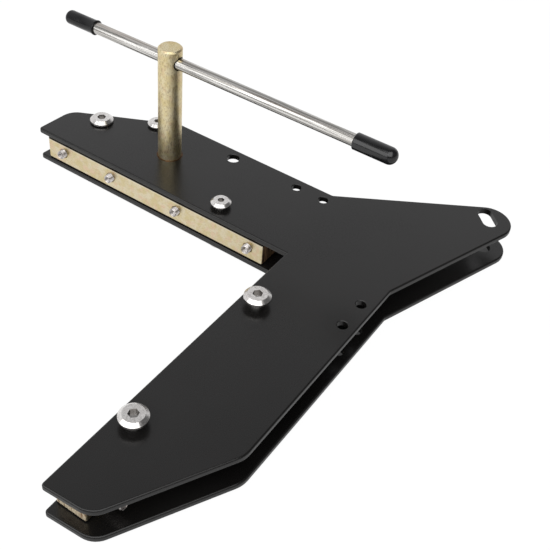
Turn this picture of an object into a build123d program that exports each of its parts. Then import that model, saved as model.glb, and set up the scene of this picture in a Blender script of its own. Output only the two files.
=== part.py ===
from build123d import *
from math import hypot, sqrt
import os

# Strap clamp for round work. Two equal plates hold a pair of jaw bars at 90 degrees,
# and a windlass post in the left arm winds the strap that leaves through the gap.
# Origin: inner corner of the V, halfway between the plates. +X runs along the V's
# bisector to the slotted tip, +Z to the post's cross bar. All sizes in mm.
# Places on an arm are (u, v): u along its inner edge from the V's corner, v outward.

# Plates
plate_t = 4.0
gap = 18.0
arm_length = 210.0
arm_width = 68.0
end_shoulder_back = 2.0
end_shoulder_v = 30.0
back_shoulder_back = 72.0
neck_left_u = 7.8
neck_right_u = -10.8
nose_r = 2.0
end_shoulder_r = 13.0
back_shoulder_r = 16.0
neck_r = 3.0
tip_centre = (139.4, 16.7)
tip_r = 15.5
plate_edge_r = 1.1
tip_slot_centre = (140.5, 20.2)
tip_slot_width = 10.0
tip_slot_length = 19.0
drilled_hole_r = 3.3
drilled_holes = ((31.3, 59.5), (10.1, 59.5))
eye_hole_r = 4.5
eye_hole = (83.4, 58.8)
hole_edge = 0.3

# Jaw bars
bar_depth = 20.0
bar_recess = 1.0
bar_start = 17.8
bar_end_back = 7.5
bar_edge_r = 1.2

# Grip screws
screw_r = 3.0
left_screw_length = 30.0
right_screw_length = 36.5
screw_reach = 3.0
screw_1_u = 29.5
screw_2_u = 88.0
screw_3_back = 65.0
screw_4_back = 21.5
screw_point_r = 2.1
screw_point_length = 1.2
screw_cup_r = 1.4
screw_cup_depth = 0.9
screw_socket_af = 3.0
screw_socket_depth = 3.5
screw_end_chamfer = 0.6
screw_fit = 0.05
screw_mouth = 0.7

# Connector bolts and their cap nuts. Each head stands off its plate on a neck, and no two
# groups of them are driven home equally far.
large_head = dict(head_r=8.2, top_r=6.1, rim=1.2, cone=1.9, neck_r=4.2, socket_af=5.5, socket_depth=2.4)
small_head = dict(head_r=6.75, top_r=5.0, rim=0.8, cone=1.6, neck_r=3.8, socket_af=4.0, socket_depth=2.0)
head_edge = 0.15
nut_neck_r = 4.8
outer_stand_off = 1.0
shoulder_stand_off = 1.4
left_bar_stand_off = 2.6
right_bar_stand_off = 4.9
nut_stand_off = 4.0
outer_bolt = (arm_length - 28.2, 34.0)
shoulder_bolt = (arm_length - 61.0, 56.0)
left_bar_bolt = (58.8, 11.2)
right_bar_bolts = ((47.4, 11.0), (arm_length - 53.9, 11.4))
shank_r = 3.0
shank_clearance = 0.3
shank_short = 3.0
shank_tip = 0.5
barrel_r = 4.0
barrel_clearance = 0.2
barrel_length = 12.0
barrel_end_space = 0.5
barrel_tip = 0.4
thread_fit = 0.02
thread_short = 1.5
spacer_r = 5.2

# Windlass post and its bearings
post_at = (119.9, 34.3)
post_r = 8.0
post_height = 84.0
post_chamfer = 1.0
cross_height = 74.4
cross_clearance = 0.3
cross_mouth = 0.5
strap_slot_width = 3.0
strap_slot_height = 15.0
journal_r = 6.0
journal_fit = 0.05
journal_chamfer = 0.5
upper_bush_wall = 0.95
lower_bush_r = 8.0
washer_r = 10.0
washer_t = 1.0
washer_clearance = 0.15
ring_t = 1.0
ring_land = 1.2
groove_depth = 0.6
ring_width = 1.9
ring_gap = 3.0
ring_lug_r = 1.3
ring_lug_hole_r = 0.6

# Cross bar and its caps
handle_r = 4.0
handle_length = 250.0
handle_rear = 86.0
handle_chamfer = 0.6
cap_fit = 0.05
rear_cap_wall = 0.75
rear_cap_length = 26.1
rear_cap_end = 2.5
rear_cap_lip = 0.35
front_cap_wall = 1.35
front_cap_length = 27.9
front_cap_end = 2.4
rear_cap_end_r = 1.6
front_cap_end_r = 3.2
cap_lip_r = 0.5
cap_flare_length = 2.0

# Places along an arm that are measured back from its end
end_shoulder = (arm_length - end_shoulder_back, end_shoulder_v)
back_shoulder = (arm_length - back_shoulder_back, arm_width)
bar_end = arm_length - bar_end_back
screw_stations = (screw_1_u, screw_2_u, arm_length - screw_3_back, arm_length - screw_4_back)

# Heights shared by everything that seats on the plates
gap_top = gap / 2
gap_floor = -gap / 2
frame_top = gap_top + plate_t
frame_floor = gap_floor - plate_t
bar_front = bar_recess
bar_back = bar_recess + bar_depth

parts_dir = "parts"


def arm_point(place, side=1):
    """Plan position of an arm place; side is 1 on the left arm and -1 on the right."""
    u, v = place
    return ((v - u) / sqrt(2), side * (u + v) / sqrt(2))


def arm_frame(place, z, side=1):
    """Location at an arm place whose local X lies along the arm and local Y points outward."""
    x, y = arm_point(place, side)
    return Location(Plane((x, y, z), x_dir=(side, -1, 0), z_dir=(0, 0, 1)))


def tangent_point(corner, side):
    """Where the neck line from a plate corner touches the tip's round end."""
    dx, dy = tip_centre[0] - corner[0], tip_centre[1] - corner[1]
    reach = hypot(dx, dy)
    run = sqrt(reach ** 2 - tip_r ** 2)
    along, across = run / reach, side * tip_r / reach
    return (corner[0] + run * (dx * along - dy * across) / reach,
            corner[1] + run * (dy * along + dx * across) / reach)


def save(node, *solids):
    """Write one named node; identical fasteners go in as separate solids."""
    shape = solids[0] if len(solids) == 1 else Compound(children=list(solids))
    shape.label = node
    export_step(shape, os.path.join(parts_dir, node + ".step"))


def disc_tools(places, radius, side=1):
    """Through cutters for round holes at arm places."""
    depth = 2 * (plate_t + gap)
    return [Pos(*arm_point(place, side), 0) * Cylinder(radius, depth) for place in places]


def plate_outline():
    """V-shaped plate with clipped arm ends and a tapered neck that ends in a round tip."""
    left = [(arm_length, 0), end_shoulder, back_shoulder, (neck_left_u, arm_width)]
    right = [(arm_length, 0), end_shoulder, back_shoulder, (neck_right_u, arm_width)]
    left = [arm_point(place) for place in left]
    right = [arm_point(place, -1) for place in right]
    radii = [nose_r, end_shoulder_r, back_shoulder_r, neck_r]
    start, finish = tangent_point(left[-1], 1), tangent_point(right[-1], -1)
    apex = (tip_centre[0] + tip_r, tip_centre[1])
    with BuildSketch() as sketch:
        with BuildLine():
            Polyline(start, *reversed(left), (0, 0), *right, finish)
            ThreePointArc(finish, apex, start)
        make_face()
        for corner, radius in zip(left + right, radii * 2):
            fillet(sketch.vertices().sort_by_distance((*corner, 0))[0], radius)
    return sketch.sketch


def plate(floor, post_hole_r, bolt_hole_r):
    """One plate with rounded outer edges and its own hole sizes."""
    body = extrude(plate_outline(), plate_t)
    rims = [edge for edge in body.edges() if abs(edge.tangent_at(0.5).Z) < 0.01]
    body = Pos(0, 0, floor) * fillet(rims, plate_edge_r)
    tools = disc_tools([post_at], post_hole_r)
    tools += disc_tools([outer_bolt, shoulder_bolt, left_bar_bolt], bolt_hole_r)
    tools += disc_tools(right_bar_bolts, bolt_hole_r, -1)
    tools += disc_tools(drilled_holes, drilled_hole_r)
    tools += disc_tools(drilled_holes, drilled_hole_r, -1)
    tools += disc_tools([eye_hole], eye_hole_r)
    slot = SlotOverall(tip_slot_length, tip_slot_width, rotation=90)
    tools.append(Pos(*tip_slot_centre, frame_floor) * extrude(slot, 2 * frame_top))
    for place, radius, side in open_holes():
        for face in (floor, floor + plate_t):
            tools.append(edge_break(place, radius, side, face, floor + plate_t / 2))
    return body - tools


def open_holes():
    """Holes that nothing fills, whose edges show."""
    holes = [(place, drilled_hole_r, side) for place in drilled_holes for side in (1, -1)]
    return holes + [(eye_hole, eye_hole_r, 1)]


def edge_break(place, radius, side, face, middle):
    """Small countersink that breaks the edge of an open hole on one face."""
    inward = 1 if middle > face else -1
    cone = Cone(radius + 2 * hole_edge, radius, 2 * hole_edge)
    turn = Rot(180, 0, 0) if inward < 0 else Rot(0, 0, 0)
    x, y = arm_point(place, side)
    return Pos(x, y, face) * turn * cone


def jaw_bar(side, bolts):
    """Flat bar along the V's edge, drilled for its bolts and tapped for the grip screws."""
    length = bar_end - bar_start
    middle = ((bar_start + bar_end) / 2, (bar_front + bar_back) / 2)
    blank = Box(length, bar_depth, gap)
    blank = arm_frame(middle, 0, side) * fillet(blank.edges(), bar_edge_r)
    tools = []
    tools += disc_tools(bolts, shank_hole_r(), side)
    depth = barrel_length - plate_t + barrel_end_space
    for place in bolts:
        tools.append(Pos(*arm_point(place, side), gap_floor + depth / 2) * Cylinder(barrel_hole_r(), depth))
    for station in screw_stations:
        tools.append(arm_frame((station, bar_front), 0, side) * Rot(-90, 0, 0) * screw_hole())
    return blank - tools


def screw_hole():
    """Tapped hole through the bar with a countersunk mouth; local +Z goes into the bar."""
    r = screw_r + screw_fit
    profile = Polyline((0, -1), (r + screw_mouth + 1, -1), (r, screw_mouth), (r, bar_depth + 1),
                       (0, bar_depth + 1), (0, -1))
    return revolve(make_face(Plane.XZ * profile), Axis.Z)


def grip_screw(station, side):
    """Socket set screw with a cup point; its point stands out of the V's edge."""
    r, point, cup = screw_r, screw_point_r, screw_cup_r
    length = left_screw_length if side > 0 else right_screw_length
    profile = Polyline((0, screw_cup_depth), (cup, 0), (point, 0), (r, screw_point_length),
                       (r, length - screw_end_chamfer), (r - screw_end_chamfer, length), (0, length),
                       (0, screw_cup_depth))
    body = revolve(make_face(Plane.XZ * profile), Axis.Z)
    socket = extrude(hexagon(screw_socket_af), screw_socket_depth)
    body -= Pos(0, 0, length - screw_socket_depth) * socket
    return arm_frame((station, -screw_reach), 0, side) * Rot(-90, 0, 0) * body


def hexagon(across_flats):
    """Hexagon for a socket key."""
    return RegularPolygon(across_flats / 2, 6, major_radius=False)


def shank_hole_r():
    """Clearance hole for a bolt's shank."""
    return shank_r + shank_clearance


def barrel_hole_r():
    """Clearance hole for a nut's barrel."""
    return barrel_r + barrel_clearance


def head(size, neck_r, base):
    """Flat flanged head with a coned edge and a hex socket, on a neck that stands on z = 0."""
    rim = base + size["rim"]
    top = rim + size["cone"]
    profile = Polyline((0, 0), (neck_r, 0), (neck_r, base), (size["head_r"], base),
                       (size["head_r"], rim), (size["top_r"], top), (0, top), (0, 0))
    body = revolve(make_face(Plane.XZ * profile), Axis.Z)
    body = fillet(body.edges().filter_by(GeomType.CIRCLE).group_by(Axis.Z)[-1], head_edge)
    socket = extrude(hexagon(size["socket_af"]), size["socket_depth"])
    return body - Pos(0, 0, top - size["socket_depth"]) * socket


def connector_bolt(place, side, size, stand_off):
    """Bolt from the upper face down into the nut's barrel."""
    reach = 2 * frame_top - shank_short
    shank = Pos(0, 0, -reach / 2) * Cylinder(shank_r, reach)
    shank = chamfer(shank.edges().sort_by(Axis.Z)[0], shank_tip)
    body = head(size, size["neck_r"], stand_off) + shank
    return Pos(*arm_point(place, side), frame_top) * body


def cap_nut(place, side, size):
    """Barrel nut from below, with the same flanged head."""
    barrel = Pos(0, 0, -barrel_length / 2) * Cylinder(barrel_r, barrel_length)
    barrel = chamfer(barrel.edges().sort_by(Axis.Z)[0], barrel_tip)
    depth = barrel_length - thread_short
    bore = Pos(0, 0, depth / 2 - barrel_length) * Cylinder(shank_r + thread_fit, depth)
    body = head(size, nut_neck_r, nut_stand_off) + barrel - bore
    return Pos(*arm_point(place, side), frame_floor) * Rot(180, 0, 0) * body


def spacer(place):
    """Sleeve that holds the plates apart at a bolt away from the jaw bars."""
    return Pos(*arm_point(place), 0) * (Cylinder(spacer_r, gap) - Cylinder(barrel_hole_r(), 2 * gap))


def bush(outer_r, inner_r, floor):
    """Plain bearing ring, flush with its plate."""
    ring = Cylinder(outer_r, plate_t) - Cylinder(inner_r, 2 * plate_t)
    return Pos(*arm_point(post_at), floor + plate_t / 2) * ring


def upper_bush_r():
    """Outer radius of the ring round the post's foot."""
    return post_r + journal_fit + upper_bush_wall


def groove_r():
    """Radius at the bottom of the retaining ring's groove."""
    return journal_r - groove_depth


def spindle_post():
    """Post with a stepped journal, a ring groove, a strap slot and the cross hole."""
    top = frame_top + post_height
    groove_top = frame_floor - washer_t
    groove_floor = groove_top - ring_t
    foot = groove_floor - ring_land
    profile = Polyline((0, foot), (journal_r - journal_chamfer, foot), (journal_r, foot + journal_chamfer),
                       (journal_r, groove_floor), (groove_r(), groove_floor), (groove_r(), groove_top),
                       (journal_r, groove_top), (journal_r, gap_floor), (post_r, gap_floor),
                       (post_r, top - post_chamfer), (post_r - post_chamfer, top), (0, top), (0, foot))
    body = revolve(make_face(Plane.XZ * profile), Axis.Z)
    body -= Box(4 * post_r, strap_slot_width, strap_slot_height)
    body -= Pos(0, 0, frame_top + cross_height) * Rot(0, 90, 0) * cross_hole()
    return arm_frame(post_at, 0) * body


def cross_hole():
    """Cutter for the cross bar's hole, with flared mouths on the round of the post."""
    r, reach = handle_r + cross_clearance, 1.5 * post_r
    flare = post_r - cross_mouth
    half = [(r, 0), (r, flare), (r + reach - flare, reach), (0, reach), (0, 0), (r, 0)]
    side = revolve(make_face(Plane.XZ * Polyline(*half)), Axis.Z)
    return side + mirror(side, about=Plane.XY)


def spindle_washer():
    """Thrust washer under the lower plate."""
    ring = Cylinder(washer_r, washer_t) - Cylinder(journal_r + washer_clearance, 2 * washer_t)
    return Pos(*arm_point(post_at), frame_floor - washer_t / 2) * ring


def retaining_ring():
    """Open ring in the groove, with a pair of drilled lugs beside its gap."""
    inner, outer = groove_r(), groove_r() + ring_width
    lug_x = inner + ring_lug_r
    lug_y = ring_gap / 2 + ring_lug_r
    sketch = Circle(outer) - Pos(outer / 2, 0) * Rectangle(outer + 2, ring_gap)
    for side in (1, -1):
        sketch += Pos(lug_x, side * lug_y) * Circle(ring_lug_r)
    sketch -= Circle(inner)
    for side in (1, -1):
        sketch -= Pos(lug_x, side * lug_y) * Circle(ring_lug_hole_r)
    return arm_frame(post_at, frame_floor - washer_t - ring_t) * extrude(sketch, ring_t)


def handle_frame(distance):
    """Location on the cross bar's line whose local Z points to its front end."""
    x, y = arm_point(post_at)
    x, y = x + distance / sqrt(2), y - distance / sqrt(2)
    return Location(Plane((x, y, frame_top + cross_height), x_dir=(0, 0, 1), z_dir=(1, -1, 0)))


def handle_bar():
    """Round cross bar with broken ends."""
    bar = Cylinder(handle_r, handle_length, align=(Align.CENTER, Align.CENTER, Align.MIN))
    bar = chamfer(bar.edges().filter_by(GeomType.CIRCLE), handle_chamfer)
    return handle_frame(-handle_rear) * bar


def handle_cap(wall, length, end, lip, end_r):
    """Dipped cap over the bar's end, closed at z = 0 and open towards +Z."""
    bore, outer = handle_r + cap_fit, handle_r + cap_fit + wall
    profile = Polyline((0, 0), (outer, 0), (outer, length - cap_flare_length), (outer + lip, length),
                       (bore, length), (bore, end), (0, end), (0, 0))
    body = revolve(make_face(Plane.XZ * profile), Axis.Z)
    body = fillet(body.edges().filter_by(GeomType.CIRCLE).sort_by(Axis.Z)[0], end_r)
    rim = body.edges().filter_by(GeomType.CIRCLE).group_by(Axis.Z)[-1].sort_by(SortBy.RADIUS)[-1]
    return fillet(rim, cap_lip_r)


def build():
    """Make every node and write it."""
    os.makedirs(parts_dir, exist_ok=True)
    save("upper_plate", plate(gap_top, upper_bush_r(), shank_hole_r()))
    save("lower_plate", plate(frame_floor, lower_bush_r, barrel_hole_r()))
    save("left_jaw_bar", jaw_bar(1, [left_bar_bolt]))
    save("right_jaw_bar", jaw_bar(-1, right_bar_bolts))
    for number, station in enumerate(screw_stations, 1):
        save(f"left_grip_screw_{number}", grip_screw(station, 1))
        save(f"right_grip_screw_{number}", grip_screw(station, -1))
    save("outer_bolt", connector_bolt(outer_bolt, 1, large_head, outer_stand_off))
    save("outer_nut", cap_nut(outer_bolt, 1, large_head))
    save("outer_spacer", spacer(outer_bolt))
    save("shoulder_bolt", connector_bolt(shoulder_bolt, 1, small_head, shoulder_stand_off))
    save("shoulder_nut", cap_nut(shoulder_bolt, 1, small_head))
    save("shoulder_spacer", spacer(shoulder_bolt))
    save("left_bar_bolt", connector_bolt(left_bar_bolt, 1, small_head, left_bar_stand_off))
    save("left_bar_nut", cap_nut(left_bar_bolt, 1, small_head))
    bolts = [connector_bolt(place, -1, large_head, right_bar_stand_off) for place in right_bar_bolts]
    save("right_bar_bolts", *bolts)
    save("right_bar_nuts", *[cap_nut(place, -1, large_head) for place in right_bar_bolts])
    save("upper_bush", bush(upper_bush_r(), post_r + journal_fit, gap_top))
    save("lower_bush", bush(lower_bush_r, journal_r + journal_fit, frame_floor))
    save("spindle_post", spindle_post())
    save("spindle_washer", spindle_washer())
    save("retaining_ring", retaining_ring())
    save("handle_bar", handle_bar())
    rear = handle_cap(rear_cap_wall, rear_cap_length, rear_cap_end, rear_cap_lip, rear_cap_end_r)
    save("rear_handle_cap", handle_frame(-handle_rear - rear_cap_end) * rear)
    front = handle_cap(front_cap_wall, front_cap_length, front_cap_end, 0, front_cap_end_r)
    front_end = handle_length - handle_rear + front_cap_end
    save("front_handle_cap", handle_frame(front_end) * Rot(180, 0, 0) * front)


build()
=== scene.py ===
import bmesh
import bpy
from math import cos, pi, radians, sin, sqrt
from mathutils import Matrix, Vector


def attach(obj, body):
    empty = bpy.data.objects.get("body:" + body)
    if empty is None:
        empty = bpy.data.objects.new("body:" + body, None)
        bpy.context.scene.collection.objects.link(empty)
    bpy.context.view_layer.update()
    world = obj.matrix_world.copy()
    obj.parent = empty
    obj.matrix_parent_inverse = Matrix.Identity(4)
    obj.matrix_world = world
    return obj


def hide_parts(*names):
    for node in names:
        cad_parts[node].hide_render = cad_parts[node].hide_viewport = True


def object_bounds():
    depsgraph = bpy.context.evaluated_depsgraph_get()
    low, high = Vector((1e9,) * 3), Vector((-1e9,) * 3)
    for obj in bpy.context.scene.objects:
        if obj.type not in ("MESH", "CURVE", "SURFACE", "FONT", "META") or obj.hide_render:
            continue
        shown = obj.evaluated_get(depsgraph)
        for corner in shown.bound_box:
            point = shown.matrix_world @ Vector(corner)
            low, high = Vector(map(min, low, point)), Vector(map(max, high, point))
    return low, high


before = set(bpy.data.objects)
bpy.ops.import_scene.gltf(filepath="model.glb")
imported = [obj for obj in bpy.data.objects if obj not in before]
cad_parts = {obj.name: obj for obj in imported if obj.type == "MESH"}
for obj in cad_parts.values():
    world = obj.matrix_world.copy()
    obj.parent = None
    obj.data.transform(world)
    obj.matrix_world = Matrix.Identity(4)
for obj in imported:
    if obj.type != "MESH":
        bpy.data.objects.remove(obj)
cad_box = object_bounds()

# Studio. A white sweep, shaded below the clamp's plates, in a room that is dark but for its
# bright back wall. One large softbox stands at the left and one over the camera, which has a
# long lens.
camera_place = (-0.117556, -0.422707, 0.400342)
camera_turn = (0.8767374, -0.0785475, -0.1929906)
camera_near = 0.01
lens_mm = 61.985
frame_shift = (-0.009389, -0.096507)
side_softbox = {"place": (-1.05, -0.38, 0.68), "size": 1.0, "watts": 5.5}
front_softbox = {"place": (-0.14, -0.87, 1.1), "size": 1.5, "watts": 13.0}
white = (1, 1, 1, 1)
wall_white = (1, 1, 1.01, 1)
black = (0, 0, 0, 1)
wall_level = 0.80
ceiling_level = 0.4
ceiling_from = 0.5
dark_room_level = 0.15
bright_wall = Vector((-0.2, 0.98, 0))
bright_wall_from = 0.55
floor_size = 6.0
floor_albedo = (0.82, 0.82, 0.82, 1)
sweep_glow_share = 0.92
sweep_level = 1.06
mirrored_near_level = 0.58
mirrored_far_level = 0.93
mirrored_change = 0.12
mirrored_far_side = Vector((-0.6, 0.8, 0))
shade_depth = 0.955
shade_soft = 0.005
arm_long = 0.210
arm_wide = 0.068
# The shade's straight edges: an inward normal, a point on the plate's edge and a margin. An
# arm's are given along the arm and outward.
neck_edges = [((-0.4307, 0.9025, 0), (0.0557, -0.0404, 0), 0.011),
              ((-0.206, -0.979, 0), (0.0426, 0.0536, 0), 0.003),
              ((1, 0, 0), (0.03, 0, 0), 0.0),
              ((-1, 0, 0), (0.155, 0, 0), 0.005)]
arm_edges = [((0, 1), (0, 0), 0.012),
             ((0, -1), (0, arm_wide), 0.007),
             ((-1, 0), (arm_long, 0), 0.012),
             ((1, 0), (0, 0), 0.0),
             ((-0.477, -0.879), (0.138, arm_wide), 0.009)]


class Wire:
    """An output socket of a node tree. Sums written with it add Math nodes."""

    def __init__(self, tree, socket=None):
        self.tree = tree
        self.socket = socket

    def node(self, kind, settings={}, inputs={}, output=0):
        """Any other node: its settings first, then the values or wires of its sockets."""
        made = self.tree.nodes.new(kind)
        for name, value in settings.items():
            setattr(made, name, value)
        for key, value in inputs.items():
            if isinstance(value, Wire):
                self.tree.links.new(value.socket, made.inputs[key])
            else:
                made.inputs[key].default_value = value
        return Wire(self.tree, made.outputs[output])

    def sum(self, operation, *values):
        """Math node over values or wires, in their order."""
        return self.node("ShaderNodeMath", {"operation": operation}, dict(enumerate(values)))

    def __add__(self, other):
        return self.sum("ADD", self, other)

    def __radd__(self, other):
        return self.sum("ADD", other, self)

    def __sub__(self, other):
        return self.sum("SUBTRACT", self, other)

    def __rsub__(self, other):
        return self.sum("SUBTRACT", other, self)

    def __mul__(self, other):
        return self.sum("MULTIPLY", self, other)

    def __rmul__(self, other):
        return self.sum("MULTIPLY", other, self)


def ease(value, low, high, start=0.0, end=1.0):
    """Smooth step of a value from low to high, between two results."""
    sockets = {"Value": value, "From Min": low, "From Max": high, "To Min": start, "To Max": end}
    return value.node("ShaderNodeMapRange", {"interpolation_type": "SMOOTHSTEP"}, sockets)


def tint(factor, low, high):
    """Colour between two colours or wires of colour."""
    sockets = {0: factor, 6: low, 7: high}
    return factor.node("ShaderNodeMix", {"data_type": "RGBA"}, sockets, 2)


def towards(place, direction):
    """How far a place or a ray goes in one direction."""
    sockets = {0: place, 1: direction}
    return place.node("ShaderNodeVectorMath", {"operation": "DOT_PRODUCT"}, sockets, "Value")


def part_of(place, axis):
    """One part of a place or a ray: 0, 1 or 2 for X, Y or Z."""
    return place.node("ShaderNodeSeparateXYZ", {}, {0: place}, axis)


def hang_softbox(name, box):
    """Square area lamp that faces the V's corner."""
    bpy.ops.object.light_add(type="AREA", location=box["place"])
    lamp = bpy.context.object
    lamp.name = name
    lamp.rotation_euler = (-Vector(box["place"])).to_track_quat("-Z", "Y").to_euler()
    lamp.data.size = box["size"]
    lamp.data.energy = box["watts"]


bpy.ops.object.camera_add(location=camera_place, rotation=camera_turn)
camera = bpy.context.object
camera.data.lens = lens_mm
camera.data.shift_x, camera.data.shift_y = frame_shift
camera.data.clip_start = camera_near
bpy.context.scene.camera = camera
bpy.context.scene.view_settings.view_transform = "Standard"

hang_softbox("side softbox", side_softbox)
hang_softbox("front softbox", front_softbox)

world = bpy.data.worlds.new("studio")
bpy.context.scene.world = world
world.use_nodes = True
sky = Wire(world.node_tree)
ray_way = sky.node("ShaderNodeTexCoord", {}, {}, "Generated")
is_camera = sky.node("ShaderNodeLightPath", {}, {}, "Is Camera Ray")
by_height = ease(part_of(ray_way, 2), ceiling_from, 1.0, wall_level, ceiling_level)
by_side = ease(towards(ray_way, bright_wall), 0.0, bright_wall_from, dark_room_level, 1.0)
seen = tint(is_camera, tint(by_height * by_side, black, wall_white), white)
world.node_tree.links.new(seen.socket, world.node_tree.nodes["Background"].inputs["Color"])

bpy.ops.mesh.primitive_plane_add(size=floor_size, location=(0, 0, cad_box[0][2]))
floor = bpy.context.object
floor.name = "floor"
sweep = bpy.data.materials.new("white sweep")
sweep.use_nodes = True
tree = sweep.node_tree
tree.nodes.remove(tree.nodes["Principled BSDF"])
start = Wire(tree)
by_camera, by_mirror, by_glass = [
    start.node("ShaderNodeLightPath", {}, {}, ray)
    for ray in ("Is Camera Ray", "Is Glossy Ray", "Is Transmission Ray")]
any_ray = by_camera + by_mirror + by_glass
glow_share = any_ray.sum("MINIMUM", any_ray, 1.0) * sweep_glow_share
spot = start.node("ShaderNodeNewGeometry", {}, {}, "Position")
mirrored_level = ease(towards(spot, mirrored_far_side), -mirrored_change, mirrored_change,
                      mirrored_near_level, mirrored_far_level)


def within(edges):
    """Where the floor lies inside straight edges, each an inward normal, a point and a margin."""
    covered = None
    for normal, point, margin in edges:
        full_at = Vector(point).dot(Vector(normal)) + margin
        inside = ease(towards(spot, Vector(normal)), full_at - shade_soft, full_at)
        covered = inside if covered is None else covered * inside
    return covered


shade = within(neck_edges)
for hand in (1, -1):
    along, out = Vector((-1, hand, 0)) / sqrt(2), Vector((1, hand, 0)) / sqrt(2)
    shade = shade.sum("MAXIMUM", shade, within([
        (along * normal[0] + out * normal[1], along * point[0] + out * point[1], margin)
        for normal, point, margin in arm_edges]))
lit = by_camera * sweep_level + (1 - by_camera) * mirrored_level
glow = start.node("ShaderNodeEmission", {}, {"Strength": lit * (1 - shade * shade_depth)})
matt = start.node("ShaderNodeBsdfDiffuse", {}, {"Color": floor_albedo})
both = start.node("ShaderNodeMixShader", {}, {0: glow_share, 1: matt, 2: glow})
tree.links.new(both.socket, tree.nodes["Material Output"].inputs["Surface"])
floor.data.materials.append(sweep)


# Plates. Two laser-cut plates of 4 mm steel with tumbled edges, powder coated satin black.
# The coat is a little uneven, and specks of dust have settled on it.
plate_black = (0.0065, 0.0060, 0.0058, 1)
plate_dusty = (0.0100, 0.0094, 0.0090, 1)
speck_grey = (0.16, 0.16, 0.15, 1)
speck_full, speck_none = 0.006, 0.016
coat_ior = 1.5
coat_roughness = 0.23
peel_depth = 0.00002


def new_finish(name, fixed):
    """Material whose shader takes fixed values, and the wire that starts its nodes."""
    material = bpy.data.materials.new(name)
    material.use_nodes = True
    shader = material.node_tree.nodes["Principled BSDF"]
    for socket, value in fixed.items():
        shader.inputs[socket].default_value = value
    return material, Wire(material.node_tree)


def feed(material, varying):
    """Lead wires into the shader's sockets."""
    shader = material.node_tree.nodes["Principled BSDF"]
    for socket, wire in varying.items():
        material.node_tree.links.new(wire.socket, shader.inputs[socket])


def surface_frame(start, origin=(0, 0, 0), turn=(0, 0, 0), stretch=(1, 1, 1)):
    """Object coordinates seen from a frame on the piece."""
    coords = start.node("ShaderNodeTexCoord", {}, {}, "Object")
    sockets = {"Vector": coords, "Location": origin, "Rotation": turn, "Scale": stretch}
    return start.node("ShaderNodeMapping", {"vector_type": "TEXTURE"}, sockets)


def grain(coords, per_metre, detail=2.0, roughness=0.5):
    """Noise with its cells per metre."""
    sockets = {"Vector": coords, "Scale": per_metre, "Detail": detail, "Roughness": roughness}
    return coords.node("ShaderNodeTexNoise", {}, sockets)


def bump(height, depth, strength=1.0):
    """Normal from a height of 0 to 1 over a depth in metres."""
    sockets = {"Strength": strength, "Distance": depth, "Height": height}
    return height.node("ShaderNodeBump", {}, sockets)


def dress(material, *names):
    """Give CAD nodes a material."""
    for name in names:
        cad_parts[name].material_slots[0].material = material


coat, start = new_finish("satin black powder coat", {"Metallic": 0.0, "IOR": coat_ior})
even = surface_frame(start)
cloud = grain(even, per_metre=14.0, detail=3.0)
peel = grain(even, per_metre=900.0)
fine = grain(even, per_metre=2600.0, detail=1.0)
cell = even.node("ShaderNodeTexVoronoi", {}, {"Vector": even, "Scale": 38.0})
speck = ease(cell, speck_none, speck_full) * ease(cloud, 0.5, 0.62)
feed(coat, {
    "Base Color": tint(speck, tint(ease(cloud, 0.3, 0.7), plate_black, plate_dusty), speck_grey),
    "Roughness": coat_roughness + cloud * 0.06 + fine * 0.04,
    "Normal": bump(peel * 0.6 + fine * 0.4, peel_depth, strength=0.5),
})
dress(coat, "upper_plate", "lower_plate")


# Jaw bars. Cold drawn bars of 20 by 18 mm, zinc plated and yellow passivated, with a painted
# highlight along their upper edges and streaked, unpolished sawn ends. They are clamped between
# the plates by bolts, and painted shade darkens the seams along the plates.
bar_tones = (0.71, 0.60, 0.34, 1), (0.79, 0.70, 0.50, 1), (0.79, 0.60, 0.42, 1)
zinc_brown = (0.34, 0.23, 0.10, 1)
# Paler zinc for the painted highlight along the top of each bar.
zinc_top_highlight = (0.86, 0.79, 0.63, 1)
inner_end_brown = (0.050, 0.022, 0.010, 1)
sawn_brown = (0.34, 0.21, 0.11, 1)
sawn_gold = (0.80, 0.69, 0.50, 1)
# Black for the painted shade along the seams under the upper plate and on the lower plate.
seam_shade_black = (0.012, 0.010, 0.008, 1)
bar_start = 0.0178
bar_end = 0.2025
bar_half_high = 0.009
sawn_deep = 0.0002
sawn_soft = 0.0002
upper_seam_shade_high = 0.0018
lower_seam_shade_high = 0.0010
seam_shade_soft = 0.0005
top_highlight_high = 0.0024
top_highlight_soft = 0.0008
top_highlight_share = 0.6
blush_share = 0.8
blush_shift = (0.4, 0.7, 0.2)
saw_mark_stretch = (1, 1, 7)
sawn_dullness = 0.55
sawn_roughness = 0.3
bar_roughness = 0.27
bar_pit_depth = 0.00006


def passivated(start, tones, turn, lengthwise, browned):
    """Colour and pits of yellow passivated zinc: streaked along the turned X, brown in its pits."""
    gold, pale, rose = tones
    along = surface_frame(start, turn=turn, stretch=(lengthwise, 1, 1))
    even = surface_frame(start)
    aside = even.node("ShaderNodeVectorMath", {"operation": "ADD"}, {0: even, 1: blush_shift})
    cloud = grain(even, per_metre=170.0, detail=3.0, roughness=0.6)
    blush = grain(aside, per_metre=230.0)
    pits = grain(along, per_metre=1300.0, detail=3.0, roughness=0.7)
    colour = tint(ease(cloud, 0.36, 0.64), gold, pale)
    colour = tint(ease(blush, 0.5, 0.68) * blush_share, colour, rose)
    return tint(ease(pits, 0.56, 0.3) * browned, colour, zinc_brown), pits


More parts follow.
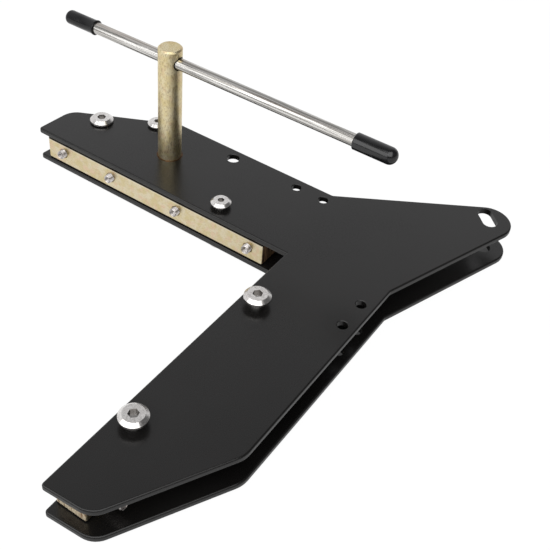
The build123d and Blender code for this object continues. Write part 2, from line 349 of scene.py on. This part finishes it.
for hand, name in ((1, "left_jaw_bar"), (-1, "right_jaw_bar")):
    zinc, start = new_finish(name.replace("_", " ") + " zinc", {})
    turn = (0, 0, hand * radians(135))
    colour, pits = passivated(start, bar_tones, turn, lengthwise=2.0, browned=0.25)
    place = surface_frame(start, turn=turn)
    along, height = part_of(place, 0), part_of(place, 2)
    inner_end = ease(along, bar_start + sawn_deep + sawn_soft, bar_start + sawn_deep)
    outer_end = ease(along, bar_end - sawn_deep - sawn_soft, bar_end - sawn_deep)
    sawn = inner_end + outer_end
    # Painted shade: dark bands at the top and bottom of each bar, along its seams with the plates.
    upper_seam_shade = ease(height, bar_half_high - upper_seam_shade_high - seam_shade_soft,
                      bar_half_high - upper_seam_shade_high)
    lower_seam_shade = ease(height, lower_seam_shade_high + seam_shade_soft - bar_half_high,
                      lower_seam_shade_high - bar_half_high)
    # Painted highlight: a paler band along the top of each bar, for the light that falls on it.
    top_highlight = ease(height, bar_half_high - top_highlight_high - top_highlight_soft, bar_half_high - top_highlight_high)
    saw_marks = grain(surface_frame(start, turn=turn, stretch=saw_mark_stretch),
                      per_metre=800.0, detail=3.0, roughness=0.6)
    colour = tint(top_highlight * top_highlight_share, colour, zinc_top_highlight)
    colour = tint(outer_end, colour, tint(ease(saw_marks, 0.38, 0.56), sawn_brown, sawn_gold))
    # The inner sawn end, at the V's corner, is coloured a darker brown than the outer one.
    colour = tint(inner_end, colour, tint(ease(saw_marks, 0.35, 0.65), inner_end_brown, sawn_brown))
    colour = tint(upper_seam_shade + lower_seam_shade, colour, seam_shade_black)
    feed(zinc, {
        "Base Color": colour,
        "Metallic": 1 - sawn * sawn_dullness,
        "Roughness": bar_roughness + pits * 0.16 + sawn * sawn_roughness,
        "Normal": bump(pits * 0.4 + saw_marks * 0.6 * sawn, bar_pit_depth, strength=0.7),
    })
    dress(zinc, name)


# Grip screws. Plain steel set screws, M6 with a 1 mm pitch, a hexagon socket and a cup point.
# Each is screwed through its jaw bar, and its point stands out of the V's edge by 3 mm.
screw_r = 0.003
screw_pitch = 0.001
screw_depth = 0.00058
left_screw_long = 0.030
right_screw_long = 0.0365
screw_point_r = 0.0021
screw_point_long = 0.0012
screw_cup_r = 0.0014
screw_cup_depth = 0.0009
screw_cup_floor_share = 0.15
screw_end_chamfer = 0.0006
screw_key_wide = 0.003
screw_socket_r = screw_key_wide / sqrt(3)
screw_socket_depth = 0.0035
screw_reach = 0.003
screw_stations = (0.0295, 0.088, 0.145, 0.1885)
screw_roll = 1.9
spare_turns = 3
thread_steps = 20
screw_sides = 32
hexagon = 6
screw_smooth_below = radians(40)
hair = 0.0001
merge_within = 0.000001
cut_within = 0.0000001
steel_pale = (0.70, 0.66, 0.64, 1)
steel_dark = (0.46, 0.43, 0.41, 1)
steel_roughness = 0.22
steel_scratch_depth = 0.00001


def alone(piece):
    """Select one piece and make it active."""
    bpy.ops.object.select_all(action="DESELECT")
    piece.select_set(True)
    bpy.context.view_layer.objects.active = piece


def use(piece, kind, **settings):
    """Add a modifier to a piece and apply it."""
    alone(piece)
    modifier = piece.modifiers.new(kind.lower(), kind)
    for name, value in settings.items():
        setattr(modifier, name, value)
    bpy.ops.object.modifier_apply(modifier=modifier.name)


def pick(piece, kind, chosen):
    """In edit mode, select the piece's faces, edges or points for which chosen is true."""
    mesh = bmesh.from_edit_mesh(piece.data)
    bpy.ops.mesh.select_all(action="DESELECT")
    for item in getattr(mesh, kind):
        if chosen(item):
            item.select_set(True)
    mesh.select_flush_mode()
    bmesh.update_edit_mesh(piece.data)


def settle(piece):
    """Put a new primitive's place and turn into its mesh."""
    alone(piece)
    bpy.ops.object.transform_apply(location=True, rotation=True, scale=True)


def middle_z(face):
    """Height of a face's middle."""
    return face.calc_center_median().z


def draw_out(distance, width):
    """Extrude the selected faces along Z and size what comes out."""
    bpy.ops.mesh.extrude_region_move(TRANSFORM_OT_translate={"value": (0, 0, distance)})
    bpy.ops.transform.resize(value=(width, width, 1))


def rolled_thread(screw_long):
    """Thread along +Z: a tooth's outline swept round the axis, cut off square at both ends."""
    root = screw_r - screw_depth
    bpy.ops.object.select_all(action="DESELECT")
    bpy.ops.mesh.primitive_plane_add(size=screw_pitch, location=(root, 0, -screw_pitch),
                                     rotation=(pi / 2, 0, 0))
    thread = bpy.context.object
    settle(thread)
    bpy.ops.object.mode_set(mode="EDIT")
    pick(thread, "verts", lambda vert: vert.co.x < root)
    bpy.ops.mesh.delete(type="VERT")
    pick(thread, "edges", lambda edge: True)
    bpy.ops.mesh.subdivide(number_cuts=1)
    pick(thread, "verts", lambda vert: abs(vert.co.z + screw_pitch) > hair)
    bpy.ops.transform.translate(value=(-screw_pitch / 2, 0, 0))
    pick(thread, "verts", lambda vert: abs(vert.co.z + screw_pitch) < hair)
    bpy.ops.transform.translate(value=(screw_depth - screw_pitch / 2, 0, 0))
    bpy.ops.object.mode_set(mode="OBJECT")
    use(thread, "SCREW", axis="Z", screw_offset=screw_pitch,
        iterations=round(screw_long / screw_pitch) + spare_turns,
        steps=thread_steps, render_steps=thread_steps,
        use_merge_vertices=True, merge_threshold=merge_within)
    bpy.ops.object.mode_set(mode="EDIT")
    for cut, side in ((-screw_pitch / 4, 1), (screw_long + screw_pitch / 4, -1)):
        bpy.ops.mesh.select_all(action="SELECT")
        bpy.ops.mesh.bisect(plane_co=(0, 0, cut), plane_no=(0, 0, side), clear_inner=True,
                            use_fill=True, threshold=cut_within)
    bpy.ops.mesh.select_all(action="SELECT")
    bpy.ops.mesh.normals_make_consistent(inside=False)
    bpy.ops.object.mode_set(mode="OBJECT")
    return thread


def turned_blank(screw_long):
    """Smooth screw along +Z with its cup point at the origin and a chamfer at its other end."""
    high = screw_long - screw_end_chamfer
    body_long = screw_long - screw_point_long - screw_end_chamfer
    bpy.ops.object.select_all(action="DESELECT")
    bpy.ops.mesh.primitive_cylinder_add(vertices=screw_sides, radius=screw_r, depth=body_long,
                                        location=(0, 0, screw_point_long + body_long / 2))
    blank = bpy.context.object
    settle(blank)
    bpy.ops.object.mode_set(mode="EDIT")
    pick(blank, "faces", lambda face: middle_z(face) < screw_point_long + hair)
    draw_out(-screw_point_long, screw_point_r / screw_r)
    draw_out(0, screw_cup_r / screw_point_r)
    draw_out(screw_cup_depth, screw_cup_floor_share)
    pick(blank, "faces", lambda face: middle_z(face) > high - hair)
    draw_out(screw_end_chamfer, (screw_r - screw_end_chamfer) / screw_r)
    bpy.ops.object.mode_set(mode="OBJECT")
    return blank


def set_screw(screw_long):
    """Set screw along +Z with its point at the origin: a thread inside the outline of a blank."""
    thread = rolled_thread(screw_long)
    blank = turned_blank(screw_long)
    bpy.ops.object.select_all(action="DESELECT")
    bpy.ops.mesh.primitive_cylinder_add(vertices=hexagon, radius=screw_socket_r,
                                        depth=2 * screw_socket_depth,
                                        location=(0, 0, screw_long))
    key = bpy.context.object
    settle(key)
    use(blank, "BOOLEAN", operation="DIFFERENCE", object=key, solver="EXACT")
    use(thread, "BOOLEAN", operation="INTERSECT", object=blank, solver="EXACT")
    for spare in (blank, key):
        bpy.data.objects.remove(spare)
    alone(thread)
    bpy.ops.object.shade_smooth_by_angle(angle=screw_smooth_below)
    return thread


steel, start = new_finish("plain steel", {"Metallic": 1.0})
near = surface_frame(start)
stain = grain(near, per_metre=300.0, detail=3.0, roughness=0.6)
scratch = grain(near, per_metre=2400.0)
feed(steel, {
    "Base Color": tint(ease(stain, 0.35, 0.7), steel_pale, steel_dark),
    "Roughness": steel_roughness + stain * 0.14 + scratch * 0.05,
    "Normal": bump(scratch, steel_scratch_depth, strength=0.4),
})

for side, hand, screw_long in (("left", 1, left_screw_long), ("right", -1, right_screw_long)):
    pattern = set_screw(screw_long)
    pattern.data.materials.append(steel)
    out = Vector((1, hand, 0)) / sqrt(2)
    lay = out.to_track_quat("Z", "Y").to_matrix().to_4x4()
    for number, station in enumerate(screw_stations, 1):
        screw = pattern.copy()
        screw.data = pattern.data.copy()
        screw.name = f"{side}_set_screw_{number}"
        bpy.context.collection.objects.link(screw)
        tip = Vector((-station, hand * station, 0)) / sqrt(2) - out * screw_reach
        roll = Matrix.Rotation(number * screw_roll + hand, 4, "Z")
        screw.data.transform(Matrix.Translation(tip) @ lay @ roll)
        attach(screw, f"{side}_screw_{number}")
        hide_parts(f"{side}_grip_screw_{number}")
    bpy.data.objects.remove(pattern)


# Connector bolts and cap nuts. Turned from steel and nickel plated, with flat flanged heads on
# a neck and a hexagon socket. A bolt goes down through the plates into its nut's barrel, and the
# two away from the jaw bars go through plain steel spacers.
frame_top = 0.013
outer_place = (0.1818, 0.034)
shoulder_place = (0.149, 0.056)
left_bar_place = (0.0588, 0.0112)
right_bar_places = ((0.0474, 0.011), (0.1561, 0.0114))
outer_stand_off = 0.001
shoulder_stand_off = 0.0014
left_bar_stand_off = 0.0026
right_bar_stand_off = 0.0049
large_head = {"high": 0.0031, "socket_r": 0.0034}
small_head = {"high": 0.0024, "socket_r": 0.0025}
nickel_bright = (0.94, 0.92, 0.90, 1)
nickel_hazy = (0.82, 0.79, 0.77, 1)
nickel_speck = (0.42, 0.40, 0.38, 1)
# Dark colour for the painted shade inside the hexagon sockets.
socket_shade = (0.05, 0.045, 0.04, 1)
speck_share = 0.5
socket_shade_share = 0.65
socket_shade_soft = 0.0002
socket_shade_full, socket_shade_none = -0.0004, -0.0001
nickel_roughness = 0.13
nickel_speck_depth = 0.00002


def arm_point(place, hand, z):
    """Point at a place on an arm: along its inner edge from the V's corner, and outward."""
    along, out = place
    return ((out - along) / sqrt(2), hand * (along + out) / sqrt(2), z)


def from_axis(local):
    """Distance from the Z axis of a surface frame."""
    level = local.node("ShaderNodeVectorMath", {"operation": "MULTIPLY"}, {0: local, 1: (1, 1, 0)})
    return level.node("ShaderNodeVectorMath", {"operation": "LENGTH"}, {0: level}, "Value")


def nickelled(name, centres=(), socket_r=0.0):
    """Bright nickel, hazy and finely scratched, with painted shade in the sockets below the
    centres.
    """
    material, start = new_finish(name, {"Metallic": 1.0})
    near = surface_frame(start)
    haze = grain(near, per_metre=320.0, detail=3.0)
    speck = grain(near, per_metre=1500.0, roughness=0.6)
    colour = tint(ease(haze, 0.35, 0.7), nickel_bright, nickel_hazy)
    colour = tint(ease(speck, 0.55, 0.35) * speck_share, colour, nickel_speck)
    for centre in centres:
        # Painted shade: each socket is darkened inside its radius, from just below the head's top.
        local = surface_frame(start, centre)
        deep = ease(part_of(local, 2), socket_shade_none, socket_shade_full)
        inside = ease(from_axis(local), socket_r, socket_r - socket_shade_soft) * deep
        colour = tint(inside * socket_shade_share, colour, socket_shade)
    feed(material, {
        "Base Color": colour,
        "Roughness": nickel_roughness + haze * 0.1 + speck * 0.1,
        "Normal": bump(speck, nickel_speck_depth, strength=0.5),
    })
    return material


for name, hand, places, stand_off, head in (
        ("outer_bolt", 1, [outer_place], outer_stand_off, large_head),
        ("shoulder_bolt", 1, [shoulder_place], shoulder_stand_off, small_head),
        ("left_bar_bolt", 1, [left_bar_place], left_bar_stand_off, small_head),
        ("right_bar_bolts", -1, right_bar_places, right_bar_stand_off, large_head)):
    tops = [arm_point(place, hand, frame_top + stand_off + head["high"]) for place in places]
    dress(nickelled(name.replace("_", " ") + " nickel", tops, head["socket_r"]), name)
dress(nickelled("nut nickel"), "outer_nut", "shoulder_nut", "left_bar_nut", "right_bar_nuts")
dress(steel, "outer_spacer", "shoulder_spacer")


# Windlass post. A turned steel post, passivated like the bars, stands in bronze bearing rings
# in both plates. A washer and an open ring under the lower plate keep it in.
cross_centre = (-0.060528, 0.109036, 0.0874)
post_tones = (0.84, 0.71, 0.39, 1), (0.92, 0.82, 0.56, 1), (0.84, 0.67, 0.42, 1)
# Painted shade in and round the cross bar's hole through the post.
cross_hole_shade = (0.02, 0.014, 0.008, 1)
cross_hole_shade_full, cross_hole_shade_none = 0.0045, 0.0050
post_roughness = 0.34
post_pit_depth = 0.00008
# Dark browns for the bronze rings: painted shade round the post's foot.
bronze_shade_brown = (0.13, 0.07, 0.04, 1)
bronze_shade_dark = (0.06, 0.035, 0.02, 1)
bronze_roughness = 0.35

post_zinc, start = new_finish("post zinc", {"Metallic": 1.0})
colour, pits = passivated(start, post_tones, (0, pi / 2, 0), lengthwise=3.0, browned=0.6)
# Painted shade: the cross bar's hole and a narrow ring round it on the post are coloured dark.
across = from_axis(surface_frame(start, cross_centre, (0, pi / 2, -pi / 4)))
feed(post_zinc, {
    "Base Color": tint(ease(across, cross_hole_shade_none, cross_hole_shade_full), colour, cross_hole_shade),
    "Roughness": post_roughness + pits * 0.16,
    "Normal": bump(pits, post_pit_depth, strength=0.7),
})
dress(post_zinc, "spindle_post")
# The bronze rings are coloured dark brown, as painted shade round the post's foot.
bronze, start = new_finish("shade_painted bronze", {"Metallic": 1.0})
oil = grain(surface_frame(start), per_metre=350.0, detail=3.0)
feed(bronze, {
    "Base Color": tint(ease(oil, 0.3, 0.7), bronze_shade_brown, bronze_shade_dark),
    "Roughness": bronze_roughness + oil * 0.15,
})
dress(bronze, "upper_bush", "lower_bush")
dress(steel, "spindle_washer", "retaining_ring")


# Cross bar. A round bar of drawn steel, polished lengthwise, that slides in the post's hole.
# Fine drawing lines and a few warmer bands run along it.
bar_turn = (0, 0, -pi / 4)
drawn_dark = (0.35, 0.34, 0.32, 1)
drawn_bright = (0.84, 0.82, 0.79, 1)
drawn_warm = (0.80, 0.70, 0.62, 1)
warm_share = 0.4
drawn_stretch = (60, 1, 1)
drawn_roughness = 0.2
drawn_line_depth = 0.0001

drawn, start = new_finish("drawn steel", {"Metallic": 1.0})
along = surface_frame(start, turn=bar_turn, stretch=drawn_stretch)
streak = grain(along, per_metre=1000.0, roughness=0.6)
band = grain(along, per_metre=420.0, detail=1.0)
stain = grain(surface_frame(start), per_metre=90.0, detail=3.0)
colour = tint(ease(streak, 0.44, 0.57), drawn_dark, drawn_bright)
feed(drawn, {
    "Base Color": tint(ease(band, 0.5, 0.7) * warm_share, colour, drawn_warm),
    "Roughness": drawn_roughness + streak * 0.12 + stain * 0.08,
    "Normal": bump(streak * 0.5 + band * 0.5, drawn_line_depth, strength=0.6),
})
dress(drawn, "handle_bar")


# Caps. Black vinyl caps with domed ends, dipped and pushed over the bar's ends. The rear one is
# thinner and duller, and its mouth is flared.
cap_bore = 0.00405
rear_cap = {"at": -0.0885, "outer": 0.0048, "long": 0.0261, "dome": 0.0036, "end": 0.0025,
            "lip": 0.00515, "ior": 1.4}
front_cap = {"at": 0.1664, "outer": 0.0054, "long": 0.0279, "dome": 0.005, "end": 0.0024,
             "lip": 0.0054, "ior": 1.62}
flare_long = 0.002
lip_long = 0.0008
lip_round = 0.0003
mouth_chamfer_wide = 0.0001
mouth_chamfer_long = 0.0002
cap_sides = 64
dome_step = 10
cap_smooth_below = radians(50)
vinyl_black = (0.006, 0.006, 0.0065, 1)
vinyl_smeared = (0.010, 0.010, 0.011, 1)
vinyl_roughness = 0.14
drip_stretch = (12, 1, 1)
drip_depth = 0.00025


def dipped_cap(name, size):
    """Cap along +Z, drawn out ring by ring from the middle of its closed end and into its bore."""
    outer, long, lip = size["outer"], size["long"], size["lip"]
    rings = [(size["dome"] * (1 - cos(radians(angle))), outer * sin(radians(angle)))
             for angle in range(dome_step, 90 + dome_step, dome_step)]
    rings += [(long / 2, outer), (long - flare_long, outer), (long - lip_long, lip),
              (long - lip_round, lip), (long, lip - lip_round),
              (long, cap_bore + mouth_chamfer_wide), (long - mouth_chamfer_long, cap_bore),
              (size["end"], cap_bore)]
    bpy.ops.object.select_all(action="DESELECT")
    bpy.ops.mesh.primitive_circle_add(vertices=cap_sides, radius=rings[0][1], fill_type="NGON",
                                      location=(0, 0, rings[0][0]))
    cap = bpy.context.object
    cap.name = name
    settle(cap)
    bpy.ops.object.mode_set(mode="EDIT")
    bpy.ops.mesh.select_all(action="SELECT")
    for (low, was), (high, now) in zip(rings, rings[1:]):
        draw_out(high - low, now / was)
    bpy.ops.mesh.select_all(action="SELECT")
    bpy.ops.mesh.normals_make_consistent(inside=False)
    bpy.ops.object.mode_set(mode="OBJECT")
    bpy.ops.object.shade_smooth_by_angle(angle=cap_smooth_below)
    return cap


def vinyl(name, ior):
    """Glossy black vinyl with faint smears and drips along the bar."""
    material, start = new_finish(name, {"Metallic": 0.0, "IOR": ior})
    smear = grain(surface_frame(start), per_metre=120.0, detail=3.0)
    drips = grain(surface_frame(start, turn=bar_turn, stretch=drip_stretch), per_metre=700.0)
    feed(material, {
        "Base Color": tint(ease(smear, 0.3, 0.7), vinyl_black, vinyl_smeared),
        "Roughness": vinyl_roughness + smear * 0.1,
        "Normal": bump(smear * 0.5 + drips * 0.5, drip_depth, strength=0.35),
    })
    return material


bar_line = Vector((1, -1, 0)) / sqrt(2)
for name, size, inward in (("rear_handle_cap", rear_cap, bar_line),
                           ("front_handle_cap", front_cap, -bar_line)):
    cap = dipped_cap(name.replace("handle_", ""), size)
    closed_end = Vector(cross_centre) + bar_line * size["at"]
    lay = inward.to_track_quat("Z", "Y").to_matrix().to_4x4()
    cap.data.transform(Matrix.Translation(closed_end) @ lay)
    cap.data.materials.append(vinyl(name.replace("_", " ") + " vinyl", size["ior"]))
    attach(cap, "handle")
    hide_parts(name)
